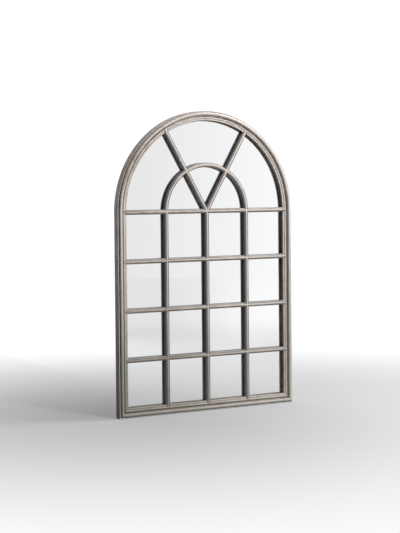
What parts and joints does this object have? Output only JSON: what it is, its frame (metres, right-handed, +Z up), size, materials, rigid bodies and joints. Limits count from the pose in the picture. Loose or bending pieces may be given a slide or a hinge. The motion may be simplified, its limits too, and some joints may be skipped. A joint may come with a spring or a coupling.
{
  "type": "window mirror",
  "caption": "Arched window-style wall mirror: moulded pewter frame, round-nosed glazing bars with an inner arch and slanting bars, and swinging hanger rings.",
  "frame": {"origin": "centre of the arched head on the wall plane: on the mirror's centre line, at the springline bar's centre, on the back board's back face", "axes": "+Z up; +Y into the wall, out of the back; -Y is the mirror's front; +X to the right of a person who looks into the mirror"},
  "size_m": [0.9, 0.045, 1.35],
  "materials": {
    "pewter_paint": "wood painted in antique pewter, satin, rubbed brown in the hollows",
    "bare_wood": "raw beech",
    "silvered_glass": "clear float glass, silvered on its back",
    "grey_card": "plain grey card",
    "brown_board": "raw fibreboard",
    "zinc_steel": "bright zinc plate"
  },
  "bodies": {
    "mirror": {"left_stile": "pewter_paint", "right_stile": "pewter_paint", "bottom_rail": "pewter_paint", "head_left": "pewter_paint", "head_right": "pewter_paint", "joint_biscuits": "bare_wood", "upright_bar_left": "pewter_paint", "upright_bar_centre": "pewter_paint", "upright_bar_right": "pewter_paint", "springline_bar": "pewter_paint", "cross_bar_upper": "pewter_paint", "cross_bar_middle": "pewter_paint", "cross_bar_lower": "pewter_paint", "arch_bar": "pewter_paint", "slant_bar_left": "pewter_paint", "slant_bar_right": "pewter_paint", "bar_dowels": "bare_wood", "mirror_glass": "silvered_glass", "cushion_sheet": "grey_card", "back_board": "brown_board", "board_points": "zinc_steel", "hanger_strap_left": "zinc_steel", "hanger_strap_right": "zinc_steel", "hanger_screws": "zinc_steel"},
    "left_ring": {"hanger_ring_left": "zinc_steel"},
    "right_ring": {"hanger_ring_right": "zinc_steel"}
  },
  "joints": [
    {"name": "left_ring_swing", "type": "hinge", "parent": "mirror", "child": "left_ring", "pos_m": [-0.4315, -0.00594, -0.11], "axis": [-1, 0, 0], "range_deg": [-15, 175]},
    {"name": "right_ring_swing", "type": "hinge", "parent": "mirror", "child": "right_ring", "pos_m": [0.4315, -0.00594, -0.11], "axis": [-1, 0, 0], "range_deg": [-15, 175]}
  ]
}
